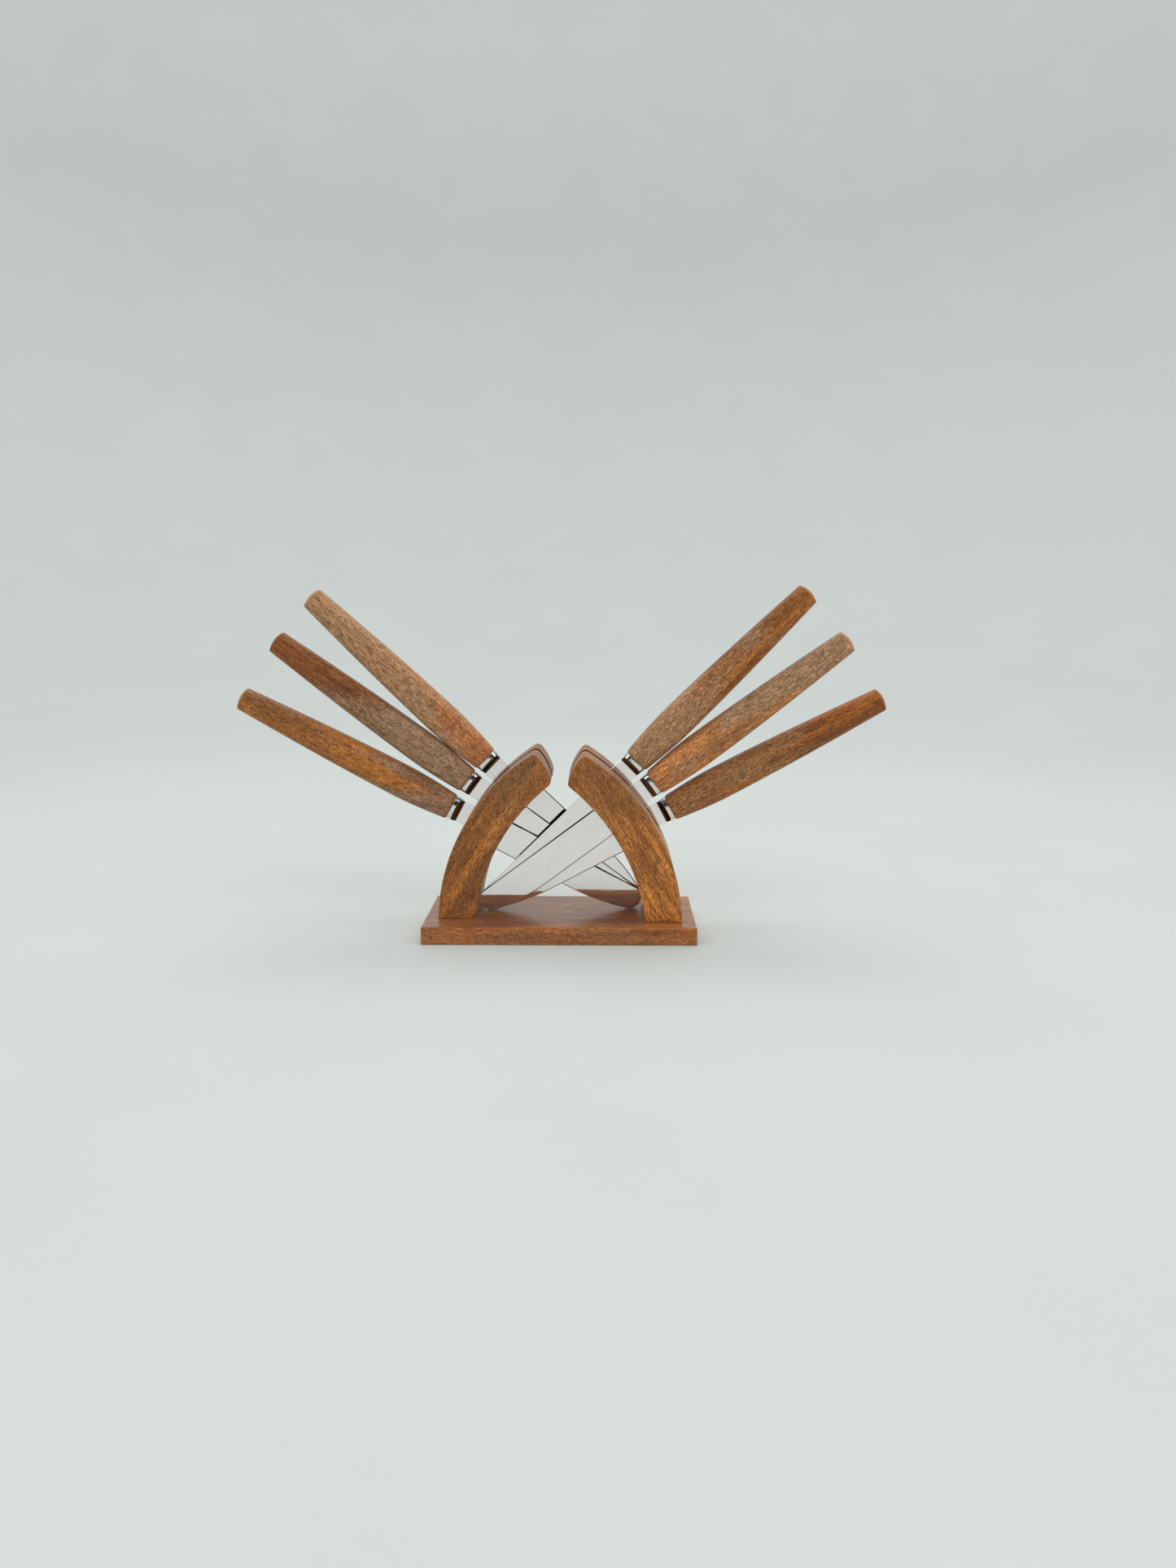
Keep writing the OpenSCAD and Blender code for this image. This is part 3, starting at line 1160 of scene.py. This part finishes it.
@dataclass(frozen=True)
class Knife:
    """One knife's blade, bolster and handle, in axes with X towards the tip and Z up the blade.

    The lengths repeat the design's sizes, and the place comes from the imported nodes.
    """

    side: Side
    level: Level
    blade_t: float = 0.8 * MM
    edge_t: float = 0.42 * MM
    spine_h: float = 5.9 * MM
    edge_h: float = 8.1 * MM
    neck_h: float = 5.0 * MM
    tip_s: float = 91.6 * MM
    tip_r: float = 5.0 * MM
    belly_s: float = 66.0 * MM
    belly_r: float = 95.0 * MM
    heel_s: float = 28.0 * MM
    heel_r: float = 14.0 * MM
    hone_w: float = 0.42 * MM
    tang_w: float = 5.0 * MM
    tang_l: float = 58.0 * MM
    bolster_l: float = 4.5 * MM
    bolster_h: float = 5.4 * MM
    bolster_t: float = 4.5 * MM
    collar_power: float = 3.2
    shoulder_s: float = 1.9 * MM
    handle_l: float = 106.0 * MM
    swell_s: float = 26.0 * MM
    handle_h: tuple[float, float, float] = (5.9 * MM, 7.5 * MM, 5.1 * MM)
    handle_t: tuple[float, float, float] = (5.0 * MM, 6.2 * MM, 4.5 * MM)
    crown_l: float = 1.1 * MM
    ease_l: float = 1.2 * MM
    ease_d: float = 0.5 * MM

    @property
    def body(self) -> str:
        """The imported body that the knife's pieces ride on.

        Returns:
            The body's name.
        """
        return f"{self.side.word}_{self.level.value}_knife"

    @property
    def seed(self) -> int:
        """A number of the knife's own for what varies from piece to piece.

        Returns:
            The number.
        """
        return 10 * (2 + self.side.value) + list(Level).index(self.level)

    def axes(self) -> Axes:
        """The knife's axes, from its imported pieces.

        X is the long axis of the handle's points, the origin is the middle of the handle's front
        end, and Z points to the blade's spine.

        Returns:
            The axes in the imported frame.
        """
        handle = vertices(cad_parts[f"{self.body}_handle"])
        flat = handle[:, [0, 2]] - handle[:, [0, 2]].mean(0)
        run, rise = np.abs(np.linalg.eigh(flat.T @ flat)[1][:, 1])
        slope = math.atan2(rise, run)
        along = np.array([-self.side.value * math.cos(slope), 0.0, -math.sin(slope)])
        up = np.array([-self.side.value * math.sin(slope), 0.0, math.cos(slope)])
        blade = vertices(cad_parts[f"{self.body}_blade"])
        across = np.array([0.0, 1.0, 0.0])
        height = handle @ up
        origin = along * (handle @ along).max() + up * (height.min() + height.max()) / 2.0
        origin = origin + across * (blade @ across).mean()
        over = (blade @ up).max() - origin @ up
        under = origin @ up - (blade @ up).min()
        if over > under:
            up, across = -up, -across
        return Axes(origin, along, across, up)

    def build(self) -> list[bpy.types.Object]:
        """The knife's three pieces in place, dressed and riding on the knife's body.

        Returns:
            The blade, the bolster and the handle.
        """
        axes = self.axes()
        steel, bright = BLADE_STEEL.material(), BOLSTER_STEEL.material()
        wood = HANDLE_WOOD[self.side, self.level].material()
        makers = (
            ("blade", self._blade(), steel, "blade_steel", 7.0),
            ("bolster", self._bolster(), bright, "bolster_steel", 34.0),
            ("handle", self._handle(), wood, "handle_wood", 50.0),
        )
        made = []
        for piece, shell, material, slot, sharp in makers:
            local = np.concatenate(shell.points)
            shell.points = [axes.place(p) for p in shell.points]
            item = shell.build(f"{self.body}_{piece}_piece", sharp)
            mark(item, "grain", local + np.array([0.137, 0.071, 0.043]) * self.seed)
            # Painted reflection: the bolster's ground hollows are darkened through the shade attribute.
            if piece == "bolster":
                mark(item, "shade", self._painted_hollow_reflection(local))
            if piece == "handle":
                mark(item, "wear", self._wear(local))
                age = HANDLE_AGE[self.side, self.level]
                mark(item, "age", np.interp(-local[:, 0], [0.0, self.handle_l], age))
            item.data.materials.append(material)
            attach(item, self.body)
            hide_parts(f"{self.body}_{piece}")
            made.append(item)
        return made

    # -- blade

    def _outline(self, neck: int, run: int, tip: int) -> tuple[Array, Array]:
        """The blade's upper and lower edges from the bolster to the point where they meet.

        Formula: above, a straight rise to the spine, then a quarter of the tip's circle. Below,
        the neck, an S of two arcs down to the heel, a straight edge, and a wide arc up to the
        tip's circle.

        Args:
            neck: Steps from the bolster to the heel.
            run: Steps from the heel to the tip's circle.
            tip: Steps round the tip.

        Returns:
            Two arrays of points in X and Z, of the same length.
        """
        drop = self.edge_h - self.neck_h
        turn = math.degrees(math.acos(1.0 - drop / (2.0 * self.heel_r)))
        back = self.heel_s - 2.0 * self.heel_r * math.sin(math.radians(turn))
        belly = math.degrees(math.asin((self.tip_s - self.belly_s) / self.belly_r))
        tip_h = self.spine_h - self.tip_r
        heel = np.concatenate([
            [[self.bolster_l, -self.neck_h]],
            arc((back, -self.neck_h - self.heel_r), self.heel_r, 90.0, 90.0 - turn, 20),
            arc((self.heel_s, self.heel_r - self.edge_h), self.heel_r, -90.0 - turn, -90.0, 20),
        ])
        edge = np.concatenate([
            heel[-1:],
            arc((self.belly_s, self.belly_r - self.edge_h), self.belly_r, -90.0, belly - 90.0, 60),
        ])
        below = np.concatenate([edge[-1:], arc((self.tip_s, tip_h), self.tip_r, -66.0, 8.0, 30)])
        rise = np.array([[self.bolster_l, self.neck_h], [self.heel_s, self.spine_h]])
        spine = np.array([rise[1], [self.tip_s, self.spine_h]])
        above = arc((self.tip_s, tip_h), self.tip_r, 90.0, 8.0, 30)
        parts = ((rise, heel, neck), (spine, edge, run), (above, below, tip))
        upper, lower = [], []
        for top, bottom, steps in parts:
            t = np.linspace(0.0, 1.0, steps + 1)
            if steps == tip:
                t = np.sin(t * math.pi / 2.0)
            upper.append(resample(top, t)[:-1])
            lower.append(resample(bottom, t)[:-1])
        return np.concatenate(upper), np.concatenate(lower)

    def _half_thickness(self, height: Array, to_edge: Array, sharp: Array) -> Array:
        """Half the blade's thickness at a height.

        Formula: an even wedge from spine to edge, which the honed bevel takes down to nearly
        nothing over its own width where the blade is sharp.

        Args:
            height: Height above the knife's middle line.
            to_edge: Distance down to the lower edge.
            sharp: 1 where the blade is honed and 0 at its neck.

        Returns:
            Half thicknesses.
        """
        deep = (self.spine_h - height) / (self.spine_h + self.edge_h)
        wedge = self.blade_t / 2.0 + (self.edge_t - self.blade_t) / 2.0 * deep
        honed = 0.02 * MM + (wedge - 0.02 * MM) * np.clip(to_edge / self.hone_w, 0.0, 1.0)
        return wedge + (honed - wedge) * sharp

    def _blade(self) -> Shell:
        """The blade as rings from spine to edge and back, with its tang behind the bolster.

        Returns:
            The closed shell.
        """
        upper, lower = self._outline(40, 150, 40)
        chamfer = 0.09 * MM
        depth = np.linalg.norm(upper - lower, axis=1)
        hone = np.minimum(self.hone_w / depth, 0.3)
        lip = np.minimum(chamfer / depth, 0.2)
        spine, edge = np.zeros((1, len(depth))), np.ones((1, len(depth)))
        rows = np.concatenate([spine, lip[None], np.linspace(lip, 1.0 - hone, 12), edge])
        rows = np.delete(rows, 2, axis=0)
        line = upper[None] + (lower - upper)[None] * rows[..., None]
        sharp = ease((lower[:, 0] - self.heel_s + 6.0 * MM) / (4.0 * MM))[None]
        half = self._half_thickness(line[..., 1], (1.0 - rows) * depth[None], sharp)
        half[0] = half[1] - chamfer * 0.8
        side = np.stack([line[..., 0], half, line[..., 1]], -1)
        other = side[::-1] * np.array([1.0, -1.0, 1.0])
        rings = np.concatenate([side, other]).transpose(1, 0, 2)
        shell = Shell()
        shell.add_tube(rings)
        shell.add_tube(self._tang())
        return shell

    def _tang(self) -> Array:
        """The flat tang's rings, tapered a little towards its hidden end.

        Returns:
            The rings as a grid of points.
        """
        near, far = [(0.3 * MM + self.bolster_l, 1.0), (0.0, 1.0)], [(-self.tang_l * 0.9, 0.9)]
        stations = np.array(near + far + [(-self.tang_l + self.bolster_l, 0.6)])
        half = np.array([self.blade_t * 0.42, self.tang_w / 2.0])
        corner = np.array([(-1, -1), (1, -1), (1, 1), (-1, 1)]) * half
        grown = corner[None] * stations[:, 1, None, None]
        place = np.broadcast_to(stations[:, :1, None], (len(stations), 4, 1))
        return np.concatenate([place, grown], -1)

    # -- bolster

    def _bolster(self) -> Shell:
        """The bolster, an oval collar whose two sides are ground down to the blade.

        Formula: at each place along the knife the ring is an oval, and its half thickness is cut
        to a hollow curve that falls from the collar to the blade, so that the cut meets the
        collar in a bow. A shallow groove runs round near the wood.

        Returns:
            The closed shell.
        """
        s = np.unique(np.concatenate([
            np.linspace(0.0, 1.1 * MM, 23),
            np.linspace(1.1 * MM, self.bolster_l, 46),
            [self.bolster_l + 0.25 * MM],
        ]))
        angle = np.linspace(0.0, 2.0 * math.pi, 128, endpoint=False)
        wide, tall = oval(angle, self.collar_power)
        fall = s / self.bolster_l
        groove = 0.12 * MM * np.exp(-(((s - 0.42 * MM) / (0.09 * MM)) ** 2))
        lip = 0.22 * MM * np.clip(1.0 - s / (0.22 * MM), 0.0, 1.0) ** 2
        height = self.bolster_h - (self.bolster_h - self.neck_h) * ease(fall * 1.1 - 0.1) - groove - lip
        thick = self.bolster_t - 0.25 * MM * fall - groove - lip
        q = np.clip((s - self.shoulder_s) / (self.bolster_l - self.shoulder_s), 0.0, 1.0)
        ground = self.blade_t / 2.0 + 0.04 * MM + (self.bolster_t - self.blade_t / 2.0) * (1.0 - q) ** 1.7
        side = thick[:, None] * np.abs(wide)[None]
        cut = np.where(s[:, None] > self.shoulder_s, ground[:, None], self.bolster_t * 2.0)
        blend = 0.12 * MM
        side = np.where(side < cut - blend, side, np.minimum(side, cut))
        rings = np.stack([
            np.broadcast_to(s[:, None], side.shape),
            np.sign(wide)[None] * side,
            height[:, None] * tall[None],
        ], -1)
        shell = Shell()
        shell.add_tube(rings)
        return shell

    # -- handle

    def _grip(self, size: Sequence[float], s: Array) -> Array:
        """Half size of the handle at a distance behind the bolster.

        Formula: a quarter sine up to the swell, then a cosine fall to the end.

        Args:
            size: Half sizes at the bolster, at the swell and at the end.
            s: Distances behind the bolster.

        Returns:
            Half sizes.
        """
        front = size[0] + (size[1] - size[0]) * np.sin(math.pi / 2.0 * np.clip(s / self.swell_s, 0.0, 1.0))
        t = np.clip((s - self.swell_s) / (self.handle_l - self.swell_s), 0.0, 1.0)
        turn, step = math.radians(80.0), size[1] - size[2]
        back = size[2] + step * np.cos(turn * t) - step * math.cos(turn) * t
        return np.where(s < self.swell_s, front, back)

    def _handle(self) -> Shell:
        """The handle: rounded-square ovals, with a crowned end and slightly eased ends.

        Returns:
            The closed shell.
        """
        angle = np.linspace(0.0, 2.0 * math.pi, 112, endpoint=False)
        wide, tall = oval(angle, 2.7)
        round_r = 0.7 * MM
        side_l = self.handle_l - self.crown_l
        turn = np.radians(np.linspace(0.0, 90.0, 7))
        front = [(self.ease_l * (1.0 - math.sin(a)), -self.ease_d * (1.0 - math.cos(a))) for a in turn[::-1]]
        length = [(s, 0.0) for s in np.linspace(self.ease_l + 0.5 * MM, side_l - round_r * 1.4, 120)]
        back = [(side_l - round_r * (1.0 - math.sin(a)), -round_r * (1.0 - math.cos(a))) for a in turn]
        place = np.array(front + length + back)
        s, shrink = place[:, 0], place[:, 1]
        high = self._grip(self.handle_h, s) + shrink
        thick = self._grip(self.handle_t, s) + shrink
        share = np.linspace(0.97, 0.06, 14)
        crown_s = side_l + self.crown_l * (1.0 - share**2)
        s = np.concatenate([s, crown_s])
        high = np.concatenate([high, high[-1] * share])
        thick = np.concatenate([thick, thick[-1] * share])
        waver = 1.0 + 0.006 * ripple(s * 22.0, self.seed + 40)
        rings = np.stack([
            np.broadcast_to(-s[:, None], (len(s), len(angle))),
            (thick * waver)[:, None] * wide[None],
            high[:, None] * tall[None],
        ], -1)
        shell = Shell()
        shell.add_tube(rings)
        return shell

    def _painted_hollow_reflection(self, local: Array) -> Array:
        """Painted dark reflection in the bolster's two ground hollows, standing in for the dark surroundings
        that they mirror.

        Args:
            local: Points in the knife's axes.

        Returns:
            The painted darkening at each point, from 0 to 1.
        """
        thick = self.bolster_t - 0.25 * MM * local[:, 0] / self.bolster_l
        height = np.clip(np.abs(local[:, 2]) / self.bolster_h, 0.0, 0.999)
        full = thick * (1.0 - height**self.collar_power) ** (1.0 / self.collar_power)
        return 0.75 * (np.abs(local[:, 1]) < full - 0.3 * MM).astype(float)

    def _wear(self, local: Array) -> Array:
        """Wear on the rims of the handle's two ends.

        Args:
            local: Points in the knife's axes.

        Returns:
            The wear at each point, from 0 to 1.
        """
        s = -local[:, 0]
        radial = np.hypot(local[:, 1] / self.handle_t[2], local[:, 2] / self.handle_h[2])
        rim = worn_edge(np.abs(s - (self.handle_l - self.crown_l)), 1.6 * MM) * (radial > 0.75)
        return np.clip(rim + 0.5 * worn_edge(s, 1.2 * MM), 0.0, 1.0)


# ---------------------------------------------------------------- studio


@dataclass(frozen=True)
class Lamp:
    """One square area lamp aimed at the middle of the stand."""

    name: str
    place: tuple[float, float, float]
    size: float
    power: float
    colour: Colour = (1.0, 1.0, 1.0)

    def build(self) -> bpy.types.Object:
        """The lamp, in the scene.

        Returns:
            The lamp's object.
        """
        data = bpy.data.lights.new(self.name, "AREA")
        data.size, data.energy, data.color = self.size, self.power, self.colour
        lamp = bpy.data.objects.new(self.name, data)
        lamp.location = self.place
        lamp.rotation_mode = "QUATERNION"
        lamp.rotation_quaternion = (Vector((0.0, 0.0, 0.06)) - Vector(self.place)).to_track_quat("-Z", "Y")
        bpy.context.scene.collection.objects.link(lamp)
        return lamp


@dataclass(frozen=True)
class Studio:
    """A pale seamless bowl, soft lamps and the camera."""

    paper: Colour = linear(216, 221, 218)
    # Painted light: the paper is made paler towards the top of the wall, standing in for light that the lamps
    # don't bring up there.
    high_paper_painted_light: Colour = linear(243, 246, 243)
    floor_r: float = 0.75
    wall_r: float = 1.9
    wall_h: float = 1.5
    ambient: float = 0.57
    lamps: tuple[Lamp, ...] = (
        Lamp("overhead softbox", (0.0, 0.42, 1.25), 1.1, 6.5),
        Lamp("front softbox", (0.25, -1.0, 1.15), 0.7, 3.1),
        Lamp("left softbox", (-1.1, -0.3, 0.8), 0.6, 1.8),
        Lamp("right softbox", (1.15, -0.25, 0.8), 0.6, 1.8),
    )
    lens: float = 27.03
    eye: tuple[float, float, float] = (0.0181, -0.5198, 0.1530)
    pitch: float = 9.44
    yaw: float = 0.63

    def build(self) -> None:
        """Makes the backdrop, the dark card, the lamps, the ambient light and the camera."""
        self._backdrop()
        self._card()
        for lamp in self.lamps:
            lamp.build()
        self._ambient()
        self._camera()

    def _backdrop(self) -> None:
        """A bowl of paper: a flat disc that sweeps up into a wall, with the top open.

        Formula: rings whose height is a quarter circle, stretched to the wall's height. The paper's colour
        paints light: it grows paler with height.
        """
        sweep = np.linspace(self.floor_r, self.wall_r, 60)[1:]
        way = np.concatenate([np.linspace(0.01, self.floor_r, 12), sweep])
        up = np.clip((way - self.floor_r) / (self.wall_r - self.floor_r), 0.0, 1.0)
        height = self.wall_h * (1.0 - np.sqrt(np.clip(1.0 - up**2, 0.0, 1.0)))
        angle = np.linspace(0.0, 2.0 * math.pi, 180, endpoint=False)
        rings = np.stack([
            way[:, None] * np.cos(angle),
            way[:, None] * np.sin(angle),
            np.broadcast_to(height[:, None], (len(way), len(angle))) - 0.02 * MM,
        ], -1)
        shell = Shell()
        shell.add_tube(rings, end=False)
        bowl = shell.build("paper_bowl", 60.0)
        material, g, shader = bare_material("backdrop paper")
        place = g.add("ShaderNodeTexCoord").outputs["Object"]
        tooth = g.noise(g.stretch(place, (9, 9, 9)), 3.0)
        rise = g.add("ShaderNodeSeparateXYZ", {0: place}).outputs["Z"]
        # Painted light: the colour blends from the paper towards the paler top colour with height, up to 1.15
        # m.
        paper = g.mix(g.math("DIVIDE", rise, 1.15, clamp=True), self.paper, self.high_paper_painted_light)
        shade = g.mix(g.math("MULTIPLY", g.span(tooth, 0.3, 0.7), 0.02), paper, (0.0, 0.0, 0.0))
        g.tree.links.new(shade, shader.inputs["Base Color"])
        shader.inputs["Roughness"].default_value = 0.6
        shader.inputs["Specular IOR Level"].default_value = 0.2
        bowl.data.materials.append(material)

    def _card(self) -> None:
        """A dark card behind the camera that only reflections see, like the dark side of a room.

        It has a wide upper part and a narrow leg down to the floor.
        """
        shell = Shell()
        for half_w, low, high in ((1.5, 0.17, 1.25), (0.2, 0.03, 0.17)):
            across, rise = np.meshgrid(np.linspace(-half_w, half_w, 5), np.linspace(low, high, 3))
            shell.add_patch(np.stack([across, np.full(across.shape, -0.85), rise], -1))
        card = shell.build("dark_card")
        material, g, shader = bare_material("dark card")
        shade = g.noise(g.add("ShaderNodeTexCoord").outputs["Object"])
        dim = g.mix(shade, (0.012, 0.011, 0.010), (0.03, 0.028, 0.026))
        g.tree.links.new(dim, shader.inputs["Base Color"])
        shader.inputs["Roughness"].default_value = 0.9
        card.data.materials.append(material)
        card.visible_camera = card.visible_diffuse = card.visible_shadow = False
        card.visible_transmission = False

    def _ambient(self) -> None:
        """Even light from the open top of the bowl."""
        world = bpy.data.worlds.new("studio")
        world.use_nodes = True
        back = world.node_tree.nodes["Background"]
        back.inputs["Color"].default_value = (0.97, 0.99, 1.0, 1.0)
        back.inputs["Strength"].default_value = self.ambient
        bpy.context.scene.world = world

    def _camera(self) -> None:
        """A camera at standing height in front, slightly to the right, looking a little down."""
        data = bpy.data.cameras.new("camera")
        data.sensor_width = 36.0
        data.lens = self.lens
        data.clip_start = 0.01
        camera = bpy.data.objects.new("camera", data)
        camera.location = self.eye
        camera.rotation_euler = (math.radians(90.0 - self.pitch), 0.0, math.radians(self.yaw))
        bpy.context.scene.collection.objects.link(camera)
        bpy.context.scene.camera = camera
        bpy.context.scene.view_settings.view_transform = "Standard"


# ---------------------------------------------------------------- the whole


@dataclass
class KnifeStand:
    """The whole stand with its six knives."""

    body: str = "stand"

    def _join(self, piece: bpy.types.Object, node: str) -> None:
        """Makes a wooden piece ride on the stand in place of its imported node.

        Args:
            piece: The new piece.
            node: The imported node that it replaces.
        """
        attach(piece, self.body)
        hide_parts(node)
        LOG.info("%s: %d faces", piece.name, len(piece.data.polygons))

    def build(self) -> None:
        """Builds and dresses every piece in turn."""
        board = BaseBoard()
        self._join(board.build(), board.node)
        for side in Side:
            upright = Upright(side)
            self._join(upright.build(), upright.node)
        zinc = SCREW_ZINC.material()
        for side in Side:
            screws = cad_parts[f"{side.word}_screws"]
            screws.data.materials.clear()
            screws.data.materials.append(zinc)
        for side in Side:
            for level in Level:
                for piece in Knife(side, level).build():
                    LOG.info("%s: %d faces", piece.name, len(piece.data.polygons))


def main() -> None:
    """Builds the studio and the stand."""
    logging.basicConfig(level=logging.INFO, format="%(name)s: %(message)s")
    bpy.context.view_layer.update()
    Studio().build()
    KnifeStand().build()


if __name__ == "__main__":
    main()
